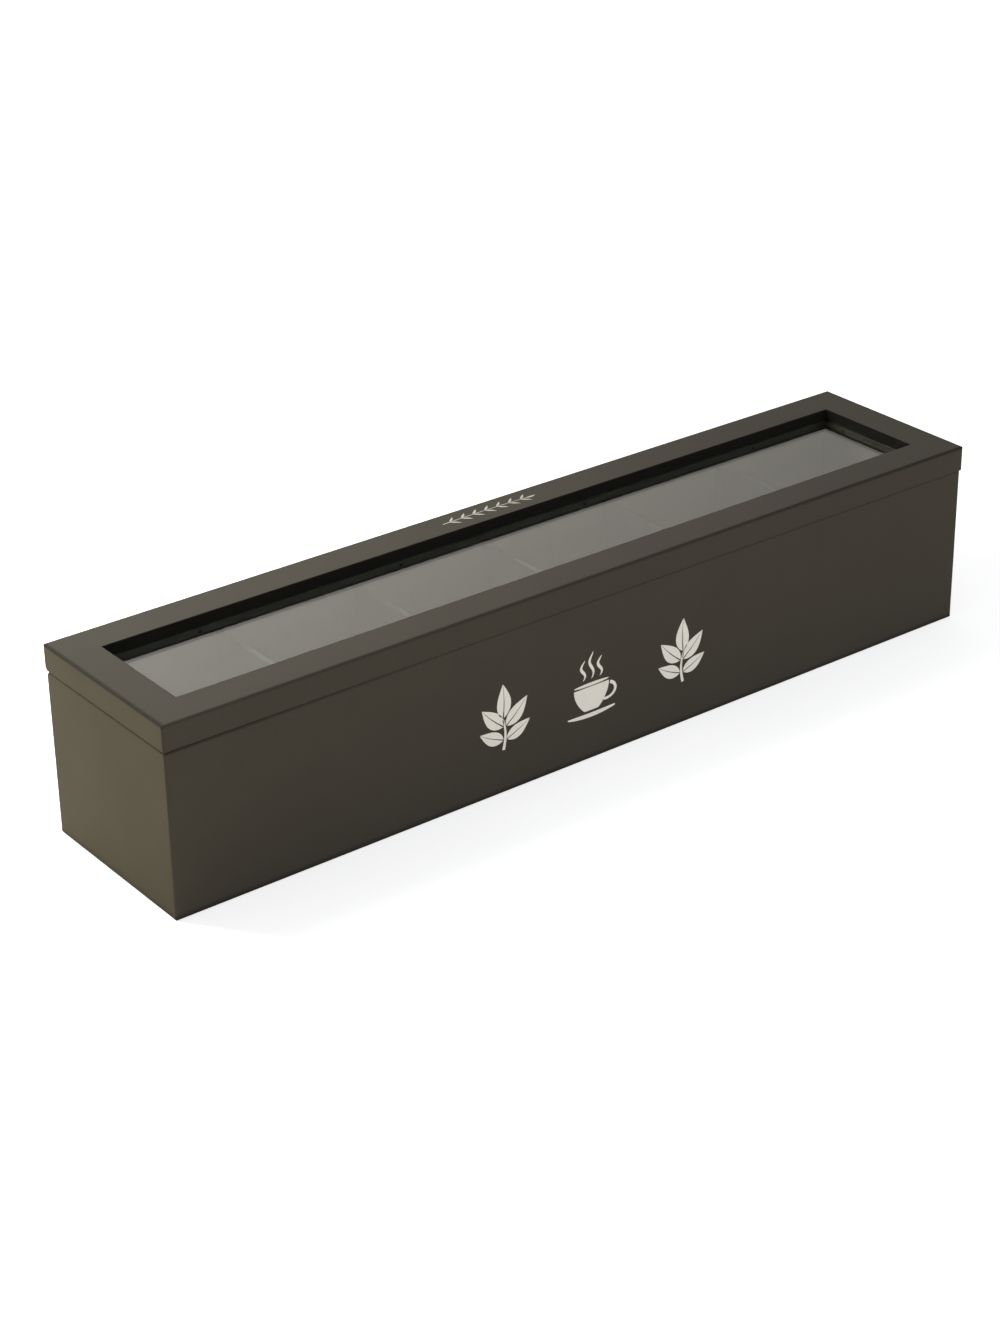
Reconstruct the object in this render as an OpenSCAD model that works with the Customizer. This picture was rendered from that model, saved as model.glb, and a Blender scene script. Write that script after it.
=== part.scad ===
// Tea bag box: a long painted fibreboard box with a row of compartments under a glazed, hinged lid.
// X runs along the length, Y from the front to the hinged back, and Z up.
// The origin lies on the underside, at the middle of the closed box.

/* [Overall size] */
// Length over the lid
overall_l = 430; // [320:1:600]
// Depth over the lid, from front to back
overall_d = 90; // [70:1:160]
// Height of the closed box
overall_h = 87; // [55:1:140]
// Number of compartments in the row
compartments = 6; // [2:1:9]

/* [Box] */
// Thickness of the front, back and end panels
wall_t = 9; // [8.5:0.5:14]
// Thickness of the bottom panel
bottom_t = 3; // [2:0.5:6]
// How far the bottom panel is let into the walls
bottom_in = 4.5; // [2:0.5:6]
// Front and back panels' lip that covers the end panels' edges
corner_lip = 3; // [2:0.5:6]
// Thickness of a divider
divider_t = 3; // [2:0.5:6]
// Depth of the divider grooves in the front and back panels
groove_in = 2; // [1:0.5:4]
// Drop from the rim to the top of the dividers
divider_drop = 3; // [1:0.5:20]

/* [Lid] */
// Height of the lid frame
lid_h = 12; // [9.5:0.5:20]
// Width of the lid rails
rail_w = 17.3; // [14:0.1:24]
// How far the lid stands past the box at the front and at both ends
overhang = 0.6; // [0:0.1:3]
// Thickness of the rails' lip above the glass
lip_t = 5; // [3:0.5:5]
// Width of the rabbet that holds the glass and its beads
rabbet_w = 5; // [3.5:0.5:6]
// Thickness of the glass
glass_t = 2; // [1.5:0.5:3]
// Width of the glazing beads
bead_w = 4.5; // [3:0.5:5]
// How far the beads stay back from the underside of the lid
bead_setback = 0.5; // [0:0.1:1]
// Angle to which the lid opens before its bevelled back edge stops it
open_angle = 100; // [90:1:110]

/* [Edges] */
// Radius of the eased outer edges
arris_r = 0.8; // [0.3:0.1:1.2]
// Radius of the eased upper edge round the window
window_arris_r = 0.5; // [0.3:0.1:1]
// Radius of the eased inner edge of the box's rim
rim_r = 0.5; // [0.3:0.1:0.8]
// Radius of the round on the beads' lower edge
bead_r = 1.6; // [0.8:0.1:2]

/* [Hinges] */
// Length of a hinge
hinge_l = 25; // [20:1:40]
// Distance from the end of the lid to the middle of a hinge
hinge_inset = 60; // [30:1:90]
// Number of knuckles on a hinge
knuckles = 5; // [3:2:7]
// Thickness of the hinge leaves
leaf_t = 0.8; // [0.6:0.1:1]
// Radius of the hinge pin
pin_r = 0.8; // [0.6:0.1:1]
// Wood left between the hinge mortise and the inside of the wall
leaf_land = 1.4; // [1:0.1:2.5]
// Wood behind the barrel, between it and the back of the box
barrel_land = 0.5; // [0.3:0.1:1.5]
// Distance between the two screws of a leaf
screw_pitch = 15; // [10:1:28]
// Radius of the screws' shanks
screw_r = 0.8; // [0.6:0.1:1]
// Radius of the screws' countersunk heads
screw_head_r = 1.4; // [1.2:0.1:1.6]
// Length of the screws
screw_l = 7; // [5:0.5:7]

/* [Glazing pins] */
// Length of the pins that hold the beads
brad_l = 8; // [7:0.5:9]
// Radius of the pins
brad_r = 0.5; // [0.4:0.05:0.6]
// Pins along a front or back bead
brads_long = 4; // [2:1:8]
// Pins along an end bead
brads_short = 2; // [1:1:4]

/* [Clearances] */
// Round the hinge pin, in the knuckles
pin_gap = 0.05; // [0.02:0.01:0.1]
// Between neighbouring knuckles
knuckle_gap = 0.15; // [0.1:0.05:0.4]
// Between the wood and the turning barrel
barrel_gap = 0.3; // [0.2:0.1:0.5]
// Between a hinge leaf and the sides of its mortise
leaf_gap = 0.1; // [0.05:0.05:0.3]
// Round the screws and the pins, in their holes
screw_gap = 0.05; // [0.02:0.01:0.1]
// On each side of a divider, in its groove
divider_gap = 0.1; // [0.05:0.05:0.3]
// Between the edges of the glass and the rabbet
glass_gap = 0.5; // [0.2:0.1:1]
// Slack between the bevelled back edges when the lid is fully open, in degrees
stop_gap = 1; // [0.5:0.5:3]

/* [Hidden] */
$fn = 64;
paint = "#3d3a33";
inner_paint = "#35322c";
steel = "#b9a36a";
pane = [0.78, 0.82, 0.8, 0.35];

// A cut reaches this far past the face it opens
past = 1;

front_y = -overall_d / 2 + overhang;
back_y = overall_d / 2;
end_x = overall_l / 2 - overhang;
seam_z = overall_h - lid_h;

inner_front_y = front_y + wall_t;
inner_back_y = back_y - wall_t;
inner_end_x = end_x - wall_t;
bottom_edge = wall_t - bottom_in;

bay_l = (2 * inner_end_x - (compartments - 1) * divider_t) / compartments;
divider_top_z = seam_z - divider_drop;

glass_top_z = overall_h - lip_t;
glass_z = glass_top_z - glass_t;
bead_z = seam_z + bead_setback;
bead_h = glass_z - bead_z;
rabbet_in = rail_w - rabbet_w;

barrel_r = pin_r + pin_gap + leaf_t;
axis_y = back_y - barrel_r - barrel_land;
leaf_w = axis_y - inner_back_y - leaf_land;
knuckle_l = (hinge_l - (knuckles - 1) * knuckle_gap) / knuckles;
hinge_x = overall_l / 2 - hinge_inset;
bevel_angle = (open_angle + stop_gap) / 2;
roll_slit = 0.15;

pin_head_r = pin_r + 0.4;
pin_head_t = 0.4;
pocket_l = hinge_l + 2 * (pin_head_t + leaf_gap);

screw_y = -(leaf_w + barrel_r + barrel_gap) / 2;
screw_head_h = 0.6;
screw_tip_h = 1.5;
screw_slot_w = 0.35;
screw_slot_in = 0.3;

brad_head_r = brad_r + 0.3;
brad_head_t = 0.3;
brad_z = bead_z + bead_h / 2;

// Waste of an eased corner at the origin whose solid lies towards -X and -Y
module corner_waste(r) {
    translate([-r, -r])
        difference() {
            square(r + past);
            circle(r);
        }
}

// Rectangle between two corners, with its own corners eased
module eased_rect(low, high, r) {
    difference() {
        translate(low)
            square(high - low);
        translate(high)
            corner_waste(r);
        translate([low.x, high.y])
            mirror([1, 0])
                corner_waste(r);
        translate([high.x, low.y])
            mirror([0, 1])
                corner_waste(r);
        translate(low)
            rotate(180)
                corner_waste(r);
    }
}

// Section in Y and Z, drawn out along X and centred on the middle plane
module along_x(length) {
    rotate([90, 0, 90])
        linear_extrude(length, center = true)
            children();
}

// Wedge above the bevelled back edge of the box, in Y and Z, with the hinge axis at its point
module bevel_waste() {
    run = back_y + past - axis_y;
    translate([axis_y, seam_z])
        polygon([[0, past], [0, 0], [run, -run * tan(bevel_angle)], [run, past]]);
}

// Turns what is drawn for the box side over the seam plane to the lid side
module on_lid_side() {
    translate([0, 0, seam_z])
        mirror([0, 0, 1])
            translate([0, 0, -seam_z])
                children();
}

// Outer form of the box, with every outer edge eased and the back edge bevelled for the lid stop
module box_form() {
    intersection() {
        linear_extrude(seam_z)
            eased_rect([-end_x, front_y], [end_x, back_y], arris_r);
        along_x(overall_l)
            difference() {
                eased_rect([front_y, 0], [back_y, seam_z], arris_r);
                bevel_waste();
            }
        translate([0, overall_d, 0])
            rotate([90, 0, 0])
                linear_extrude(2 * overall_d)
                    eased_rect([-end_x, 0], [end_x, seam_z], arris_r);
    }
}

// Space of the bottom panel, let into the lower inner edges of the walls
module bottom_space() {
    translate([-end_x + bottom_edge, front_y + bottom_edge, 0])
        cube([2 * (end_x - bottom_edge), back_y - front_y - 2 * bottom_edge, bottom_t]);
}

// Space of an end panel at the right, between the lips of the front and back panels
module end_space() {
    translate([inner_end_x, front_y + corner_lip, 0])
        cube([wall_t, back_y - front_y - 2 * corner_lip, seam_z]);
}

// Middle of divider i, counted from the left
function divider_x(i) = -inner_end_x + i * (bay_l + divider_t) - divider_t / 2;

// Grooves in the front and back panels, open at the rim so that the dividers slide in
module divider_grooves() {
    width = divider_t + 2 * divider_gap;
    depth = inner_back_y - inner_front_y + 2 * groove_in;
    for (i = [1 : compartments - 1])
        translate([divider_x(i) - width / 2, inner_front_y - groove_in, bottom_t])
            cube([width, depth, seam_z]);
}

// Waste of the eased inner edge of the rim along one side, where size is the opening's length there
module rim_waste(size) {
    mitred_stick(size + 2 * rim_r, rim_r + past, rim_r + past)
        translate([rim_r, rim_r])
            corner_waste(rim_r);
}

// Waste of the eased rim along the front and back panels
module long_rim_waste() {
    translate([0, inner_front_y - rim_r, seam_z - rim_r])
        rim_waste(2 * inner_end_x);
    translate([0, inner_back_y + rim_r, seam_z - rim_r])
        mirror([0, 1, 0])
            rim_waste(2 * inner_end_x);
}

// Waste of the eased rim along the right end panel
module end_rim_waste() {
    translate([inner_end_x + rim_r, (inner_front_y + inner_back_y) / 2, seam_z - rim_r])
        rotate(90)
            rim_waste(inner_back_y - inner_front_y);
}

module front_panel() {
    color(paint)
        difference() {
            intersection() {
                box_form();
                translate([-end_x, front_y, 0])
                    cube([2 * end_x, wall_t, seam_z]);
            }
            end_space();
            mirror([1, 0, 0])
                end_space();
            bottom_space();
            divider_grooves();
            long_rim_waste();
        }
}

module back_panel() {
    color(paint)
        difference() {
            intersection() {
                box_form();
                translate([-end_x, inner_back_y, 0])
                    cube([2 * end_x, wall_t, seam_z]);
            }
            end_space();
            mirror([1, 0, 0])
                end_space();
            bottom_space();
            divider_grooves();
            long_rim_waste();
            hinge_mortises();
        }
}

module right_end_panel() {
    color(paint)
        difference() {
            intersection() {
                box_form();
                end_space();
            }
            bottom_space();
            end_rim_waste();
        }
}

module left_end_panel() {
    mirror([1, 0, 0])
        right_end_panel();
}

module bottom_panel() {
    color(inner_paint)
        bottom_space();
}

// Divider i, with its ends in the grooves and its top edge fully eased
module divider(i) {
    end_y = groove_in - divider_gap;
    color(inner_paint)
        translate([divider_x(i), inner_back_y + end_y, 0])
            rotate([90, 0, 0])
                linear_extrude(inner_back_y - inner_front_y + 2 * end_y)
                    divider_section();
}

// Section of a divider in X and Z: square at the bottom, half round at the top
module divider_section() {
    straight_z = divider_top_z - divider_t / 2;
    translate([-divider_t / 2, bottom_t])
        square([divider_t, straight_z - bottom_t]);
    intersection() {
        translate([0, straight_z])
            circle(divider_t / 2);
        translate([-divider_t / 2, straight_z])
            square(divider_t);
    }
}

// A stick with mitred ends: its section is drawn along X, with its outer edge on the X axis
module mitred_stick(length, width, height) {
    intersection() {
        along_x(length)
            children();
        linear_extrude(height)
            polygon([
                [-length / 2, 0],
                [length / 2, 0],
                [length / 2 - width, width],
                [-length / 2 + width, width]
            ]);
    }
}

// Section of a lid rail: outer edge at 0, lip above the glass, rabbet below it
module rail_section() {
    difference() {
        eased_rect([0, 0], [rail_w + arris_r, lid_h], arris_r);
        translate([rail_w, -past])
            square([arris_r + past, lid_h + 2 * past]);
        translate([rabbet_in, -past])
            square([rail_w, lid_h - lip_t + past]);
        translate([rail_w, lid_h])
            corner_waste(window_arris_r);
    }
}

// Section of a glazing bead: outer edge at 0, lower inner edge rounded
module bead_section() {
    difference() {
        square([bead_w, bead_h]);
        translate([bead_w, 0])
            mirror([0, 1])
                corner_waste(bead_r);
    }
}

// A front rail, in its place on the lid
module front_rail_form() {
    translate([0, -overall_d / 2, seam_z])
        mitred_stick(overall_l, rail_w, lid_h)
            rail_section();
}

// A right rail, in its place on the lid
module right_rail_form() {
    translate([overall_l / 2, 0, seam_z])
        rotate(90)
            mitred_stick(overall_d, rail_w, lid_h)
                rail_section();
}

// Plan of the lid, which eases its four upright corners
module lid_plan() {
    translate([0, 0, seam_z])
        linear_extrude(lid_h)
            eased_rect([-overall_l / 2, -overall_d / 2], [overall_l / 2, overall_d / 2], arris_r);
}

// Bevel on the lower back edge of the lid, right through both back corners
module lid_bevel() {
    on_lid_side()
        along_x(overall_l + 2 * past)
            bevel_waste();
}

module lid_front_rail() {
    color(paint)
        difference() {
            intersection() {
                front_rail_form();
                lid_plan();
            }
            long_brads(screw_gap);
        }
}

module lid_back_rail() {
    color(paint)
        difference() {
            intersection() {
                mirror([0, 1, 0])
                    front_rail_form();
                lid_plan();
            }
            lid_bevel();
            on_lid_side()
                hinge_mortises();
            mirror([0, 1, 0])
                long_brads(screw_gap);
        }
}

module lid_right_rail() {
    color(paint)
        difference() {
            intersection() {
                right_rail_form();
                lid_plan();
            }
            lid_bevel();
            short_brads(screw_gap);
        }
}

module lid_left_rail() {
    mirror([1, 0, 0])
        lid_right_rail();
}

module lid_glass() {
    edge = rabbet_in + glass_gap;
    half_l = overall_l / 2 - edge;
    half_d = overall_d / 2 - edge;
    color(pane)
        translate([0, 0, glass_z])
            linear_extrude(glass_t)
                eased_rect([-half_l, -half_d], [half_l, half_d], glass_gap);
}

module front_bead() {
    color(paint)
        difference() {
            translate([0, -overall_d / 2 + rabbet_in, bead_z])
                mitred_stick(overall_l - 2 * rabbet_in, bead_w, bead_h)
                    bead_section();
            long_brads(screw_gap);
        }
}

module back_bead() {
    mirror([0, 1, 0])
        front_bead();
}

module right_bead() {
    color(paint)
        difference() {
            translate([overall_l / 2 - rabbet_in, 0, bead_z])
                rotate(90)
                    mitred_stick(overall_d - 2 * rabbet_in, bead_w, bead_h)
                        bead_section();
            short_brads(screw_gap);
        }
}

module left_bead() {
    mirror([1, 0, 0])
        right_bead();
}

// Glazing pin from the inner face of a bead at the origin, driven towards -Y
module brad(gap) {
    rotate([90, 0, 0]) {
        translate([0, 0, -past * sign(gap)])
            cylinder(r = brad_head_r + gap, h = brad_head_t + past * sign(gap));
        cylinder(r = brad_r + gap, h = brad_l + gap);
    }
}

// Pins along the front bead, or their holes
module long_brads(gap) {
    run = overall_l - 2 * rabbet_in;
    for (i = [0 : brads_long - 1])
        translate([run * ((i + 0.5) / brads_long - 0.5), -overall_d / 2 + rabbet_in + bead_w, brad_z])
            brad(gap);
}

// Pins along the right bead, or their holes
module short_brads(gap) {
    run = overall_d - 2 * rabbet_in;
    for (i = [0 : brads_short - 1])
        translate([overall_l / 2 - rabbet_in - bead_w, run * ((i + 0.5) / brads_short - 0.5), brad_z])
            rotate(90)
                brad(gap);
}

module bead_pins() {
    color(steel) {
        long_brads(0);
        mirror([0, 1, 0])
            long_brads(0);
        short_brads(0);
        mirror([1, 0, 0])
            short_brads(0);
    }
}

// Puts a child at the axis of the hinge on one side: 1 is the right, -1 the left
module at_hinge(side) {
    translate([side * hinge_x, axis_y, seam_z])
        children();
}

// Mortises for both hinges on the box side: the leaf, its screws and the barrel
module hinge_mortises() {
    for (side = [-1, 1])
        at_hinge(side) {
            translate([-hinge_l / 2 - leaf_gap, -leaf_w - leaf_gap, -barrel_r])
                cube([hinge_l + 2 * leaf_gap, leaf_w + leaf_gap, barrel_r + past]);
            rotate([0, 90, 0])
                cylinder(r = barrel_r + barrel_gap, h = pocket_l, center = true);
            leaf_screws(screw_gap);
        }
}

// Section of one rolled knuckle with the strip of leaf that it is rolled from
module knuckle_section() {
    strip = barrel_r + 2 * barrel_gap;
    difference() {
        union() {
            circle(barrel_r);
            translate([-strip, -barrel_r])
                square([strip, leaf_t]);
        }
        circle(pin_r + pin_gap);
        translate([-strip - past, leaf_t - barrel_r])
            square([strip + past, roll_slit]);
    }
}

// Hinge leaf on the box side of the axis, with every other knuckle from the first
module leaf(first) {
    difference() {
        union() {
            translate([0, 0, -barrel_r])
                linear_extrude(leaf_t)
                    difference() {
                        eased_rect([-hinge_l / 2, -leaf_w], [hinge_l / 2, 0], arris_r);
                        translate([-hinge_l / 2 - past, -barrel_r - barrel_gap])
                            square([hinge_l + 2 * past, leaf_w]);
                    }
            for (i = [first : 2 : knuckles - 1])
                translate([(i - (knuckles - 1) / 2) * (knuckle_l + knuckle_gap), 0, 0])
                    along_x(knuckle_l)
                        knuckle_section();
        }
        leaf_screws(screw_gap);
    }
}

// Pin along the hinge axis, with a low head peened at each end
module hinge_pin() {
    rotate([0, 90, 0])
        cylinder(r = pin_r, h = hinge_l, center = true);
    for (side = [-1, 1])
        rotate([0, 90 * side, 0])
            translate([0, 0, hinge_l / 2])
                cylinder(r1 = pin_head_r, r2 = pin_r, h = pin_head_t);
}

// Countersunk screw driven down from the face of a leaf, or its hole
module leaf_screw(gap) {
    rise = past * sign(gap);
    difference() {
        translate([0, 0, leaf_t - barrel_r]) {
            translate([0, 0, -screw_head_h])
                cylinder(r1 = screw_r + gap, r2 = screw_head_r + gap, h = screw_head_h);
            cylinder(r = screw_head_r + gap, h = max(rise, gap));
            translate([0, 0, screw_tip_h - screw_l])
                cylinder(r = screw_r + gap, h = screw_l - screw_tip_h);
            translate([0, 0, -screw_l])
                cylinder(r1 = 0, r2 = screw_r + gap, h = screw_tip_h);
        }
        if (gap == 0)
            translate([-screw_head_r, -screw_slot_w / 2, leaf_t - barrel_r - screw_slot_in])
                cube([2 * screw_head_r, screw_slot_w, screw_slot_in]);
    }
}

// The two screws of a leaf, or their holes
module leaf_screws(gap) {
    for (side = [-1, 1])
        translate([side * screw_pitch / 2, screw_y, 0])
            leaf_screw(gap);
}

module left_hinge_box_leaf() {
    color(steel)
        at_hinge(-1)
            leaf(0);
}

module left_hinge_lid_leaf() {
    color(steel)
        on_lid_side()
            at_hinge(-1)
                leaf(1);
}

module left_hinge_pin() {
    color(steel)
        at_hinge(-1)
            hinge_pin();
}

module right_hinge_box_leaf() {
    color(steel)
        at_hinge(1)
            leaf(0);
}

module right_hinge_lid_leaf() {
    color(steel)
        on_lid_side()
            at_hinge(1)
                leaf(1);
}

module right_hinge_pin() {
    color(steel)
        at_hinge(1)
            hinge_pin();
}

module box_hinge_screws() {
    color(steel)
        for (side = [-1, 1])
            at_hinge(side)
                leaf_screws(0);
}

module lid_hinge_screws() {
    color(steel)
        on_lid_side()
            for (side = [-1, 1])
                at_hinge(side)
                    leaf_screws(0);
}

front_panel();
back_panel();
left_end_panel();
right_end_panel();
bottom_panel();
for (i = [1 : compartments - 1])
    divider(i);
lid_front_rail();
lid_back_rail();
lid_left_rail();
lid_right_rail();
lid_glass();
front_bead();
back_bead();
left_bead();
right_bead();
bead_pins();
left_hinge_box_leaf();
left_hinge_lid_leaf();
left_hinge_pin();
right_hinge_box_leaf();
right_hinge_lid_leaf();
right_hinge_pin();
box_hinge_screws();
lid_hinge_screws();
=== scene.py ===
import math

import bmesh
import bpy
from bpy.props import FloatProperty, FloatVectorProperty, PointerProperty
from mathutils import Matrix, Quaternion, Vector


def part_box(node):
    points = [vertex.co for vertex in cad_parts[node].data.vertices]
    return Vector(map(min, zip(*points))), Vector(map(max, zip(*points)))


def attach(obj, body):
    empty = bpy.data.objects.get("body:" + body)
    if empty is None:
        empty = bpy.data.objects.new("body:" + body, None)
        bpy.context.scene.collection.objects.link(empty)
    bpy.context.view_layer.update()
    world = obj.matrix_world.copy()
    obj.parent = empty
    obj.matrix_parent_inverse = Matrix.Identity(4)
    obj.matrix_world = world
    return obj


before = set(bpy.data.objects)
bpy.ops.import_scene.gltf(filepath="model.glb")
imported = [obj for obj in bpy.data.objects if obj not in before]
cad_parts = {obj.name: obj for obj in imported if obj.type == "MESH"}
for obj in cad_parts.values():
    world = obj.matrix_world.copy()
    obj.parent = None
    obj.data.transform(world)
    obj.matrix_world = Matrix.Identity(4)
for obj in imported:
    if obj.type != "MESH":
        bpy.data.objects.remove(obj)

bl_info = {
    "name": "Tea Bag Box",
    "version": (1, 0, 0),
    "blender": (4, 5, 0),
    "location": "3D View > Sidebar > Tea Box",
    "description": "Paint, glass, hinge plating, screen prints and studio of a glazed tea bag box",
    "category": "Object",
}

MM = 0.001

# The photo's long side and the camera's shift in pixels of the photo, the sensor in millimetres, and
# how far the camera sees
PHOTO_LONG_SIDE = 1333
SHIFT_PIXELS = (-5.2, -26.0)
SENSOR_LONG_SIDE = 36
VIEW_END = 50

BOARDS = ("front_panel", "back_panel", "left_end_panel", "right_end_panel")
RAILS = ("lid_front_rail", "lid_back_rail", "lid_left_rail", "lid_right_rail")
BEADS = ("front_bead", "back_bead", "left_bead", "right_bead")
LINING = ("bottom_panel", *sorted(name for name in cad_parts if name.startswith("divider_")))
HINGES = tuple(sorted(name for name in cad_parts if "hinge" in name))

FRONT_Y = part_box("front_panel")[0].y
END_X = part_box("front_panel")[1].x
SEAM_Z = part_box("front_panel")[1].z
LID_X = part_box("lid_back_rail")[1].x
LID_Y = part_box("lid_back_rail")[1].y
LID_TOP_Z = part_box("lid_back_rail")[1].z
WINDOW_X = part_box("lid_right_rail")[0].x
WINDOW_Y = -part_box("lid_front_rail")[1].y
BACK_RAIL_Y = (WINDOW_Y + LID_Y) / 2

# The sprayed film swings by these amounts in colour and roughness, has low bumps, and mirrors little
FILM_SWING = 0.07
SHEEN_SWING = 0.03
PEEL_STRENGTH = 0.25
PEEL_HEIGHT = 0.02 * MM
FILM_SPECULAR = 0.12

# Painted shade at the foot: the paint is darker by this share up to the first height over the foot, and
# plain from the second
FOOT_FROM = 0.8 * MM
FOOT_TO = 3 * MM
FOOT_LOSS = 0.58

# The painted shadow under the lid's overhang lies 0.5 mm below the joint. It fades away over
# this run from the left front corner, and reaches this far up and down.
JOINT_CORNER = (-END_X, FRONT_Y, SEAM_Z - 0.5 * MM)
JOINT_RUN = 140 * MM
JOINT_LOSS = 0.55
JOINT_FROM = 0.5 * MM
JOINT_TO = 1.1 * MM

# Painted shade on the lid's upper arris: it is darker up to the first distance from it, and plain from
# the second. At the left of its long sides less shade is painted.
ARRIS_FROM = 0.8 * MM
ARRIS_TO = 1.6 * MM
ARRIS_LOSS = 0.5
ARRIS_LOSS_LEFT = 0.15

# The near-black of the window's inner edge, partly a dark stain and partly painted shade of the recess,
# fades out on its eased upper edge, between these distances from the opening
WINDOW_SHADE_FROM = 0.15 * MM
WINDOW_SHADE_TO = 0.45 * MM
WINDOW_EDGE_ROUGHNESS = 0.9

# The index of soda-lime glass
GLASS_IOR = 1.52

# The noise of the rolling marks changes this much slower along the hinge. The marks swing the
# roughness between these, and are this strong and deep.
MARK_STRETCH = 0.06
BRASS_ROUGHNESS = (0.2, 0.38)
MARK_STRENGTH = 0.3
MARK_DEPTH = 0.01 * MM

# The ink is darker by this share where it is thin, in patches of this size. The tooth of the mesh is
# about 0.1 mm and is drawn coarser, because it wouldn't show.
INK_THIN_LOSS = 0.07
INK_PATCH = 5 * MM
INK_TOOTH = 0.5 * MM
TOOTH_STRENGTH = 0.2
TOOTH_DEPTH = 0.01 * MM
INK_ROUGHNESS = 0.55
INK_SPECULAR = 0.35

# The floor is open under the box, up to this far from its edges. Its glow starts at this strength
# near the box and is full from the second distance. Its two colours are for what the camera sees of
# it and for the light that it sends back.
FLOOR_LAP = 2 * MM
FLOOR_SIDES = 96
GLOW_NEAR = 0.62
GLOW_FROM = 0.3
GLOW_TO = 1.0
FLOOR_WHITE = "#dadada"
FLOOR_CREAM = "#f4e8c8"

# The lit panel that glass and paint mirror, by the X and Z of the way that a mirrored ray takes. It is
# full up to the first X and ends at the second, starts between two heights and dims between two more.
PANEL_X = (0.2, 0.865)
PANEL_STRENGTH = 2.07
PANEL_START_Z = (0.2, 0.35)
PANEL_DIM_Z = (0.48, 0.62)
PANEL_DIM_SHARE = 0.25
PANEL_COLOUR = "#fff9ed"

# Below the panel, the strength that is mirrored, and what rays that come back through glass see more
LOW_SKY = 0.4
LOW_SKY_MORE = 0.6

# The even light that falls on all that isn't mirrored
SHED_STRENGTH = 0.5
SHED_COLOUR = "#fffdf8"

# A row that is in its place waits this much higher, so that it isn't taken for another row. A vertex
# is in a row when it is this near to it, and vertices this near to each other become one.
LIFT = 1.0
ROW_CATCH = 1e-4
DOUBLE = 0.01 * MM

# A stroke takes its direction from its path this far ahead and behind
STEP = 0.01

# The midrib of a leaf narrows by this share towards the tip. The power puts its widest place below
# the middle.
LEAF_ROWS = 14
VEIN_TAPER = 0.8
LEAF_POWER = 0.75
SMALL_LEAF_POWER = 0.8


def linear(code):
    """Linear RGBA of an sRGB hex value, such as "#3d3a33"."""
    shares = [int(code[i:i + 2], 16) / 255 for i in (1, 3, 5)]
    return (*(s / 12.92 if s <= 0.04045 else ((s + 0.055) / 1.055) ** 2.4 for s in shares), 1)


class TEABOX_PG_paint(bpy.types.PropertyGroup):
    colour: FloatVectorProperty(
        name="Paint",
        description="Colour of the satin paint on the box and the lid frame",
        subtype="COLOR", size=4, min=0, max=1, default=linear("#3a3630"),
    )
    # Near-black: a darker inside coat, darkened further as painted shade of the compartments under the glass
    inner_coat_and_shade: FloatVectorProperty(
        name="Inner coat",
        description="Colour of the thinner coat on the bottom and the dividers",
        subtype="COLOR", size=4, min=0, max=1, default=linear("#0e0d0b"),
    )
    # Near-black window edge: partly a dark stain, partly painted shade of the recess
    window_stain_and_shade: FloatVectorProperty(
        name="Window edge",
        description="Colour of the stained inner edge of the lid frame",
        subtype="COLOR", size=4, min=0, max=1, default=linear("#100f0c"),
    )
    roughness: FloatProperty(
        name="Roughness",
        description="Roughness of the dried paint film",
        subtype="FACTOR", min=0, max=1, default=0.48,
    )
    cloud: FloatProperty(
        name="Clouding",
        description="Size of the soft patches where the sprayed film is a little thicker or thinner",
        unit="LENGTH", default=38 * MM,
    )
    peel: FloatProperty(
        name="Orange peel",
        description="Size of the low bumps of the sprayed film",
        unit="LENGTH", default=1.4 * MM,
    )


class TEABOX_PG_glass(bpy.types.PropertyGroup):
    tint: FloatVectorProperty(
        name="Tint",
        description="Colour of the light that passes the pane",
        subtype="COLOR", size=4, min=0, max=1, default=linear("#f3f8f5"),
    )


class TEABOX_PG_plating(bpy.types.PropertyGroup):
    colour: FloatVectorProperty(
        name="Brass",
        description="Colour of the brass plating",
        subtype="COLOR", size=4, min=0, max=1, default=linear("#c9ac66"),
    )
    scratch: FloatProperty(
        name="Scratches",
        description="Distance between the rolling marks in the hinge strip",
        unit="LENGTH", default=0.25 * MM,
    )


class TEABOX_PG_print(bpy.types.PropertyGroup):
    ink: FloatVectorProperty(
        name="Ink",
        description="Colour of the screen-printed ink",
        subtype="COLOR", size=4, min=0, max=1, default=linear("#dad5cc"),
    )
    fine_ink: FloatVectorProperty(
        name="Fine ink",
        description="Colour of the thinner ink on the lid",
        subtype="COLOR", size=4, min=0, max=1, default=linear("#a5a198"),
    )
    film: FloatProperty(
        name="Ink film",
        description="Thickness of the printed ink",
        unit="LENGTH", default=0.05 * MM,
    )
    foot: FloatProperty(
        name="Foot of the row",
        description="Height of the motifs' feet above the underside of the box",
        unit="LENGTH", default=20.5 * MM,
    )
    pitch: FloatProperty(
        name="Pitch",
        description="Distance between the middles of neighbouring motifs",
        unit="LENGTH", default=49.5 * MM,
    )
    middle: FloatProperty(
        name="Middle of the row",
        description="Place of the middle motif along the box",
        unit="LENGTH", default=-2.9 * MM,
    )
    garland: FloatProperty(
        name="Garland length",
        description="Length of the garland on the lid's back rail",
        unit="LENGTH", default=51 * MM,
    )
    garland_middle: FloatProperty(
        name="Middle of the garland",
        description="Place of the middle of the garland along the lid",
        unit="LENGTH", default=3.5 * MM,
    )


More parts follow.
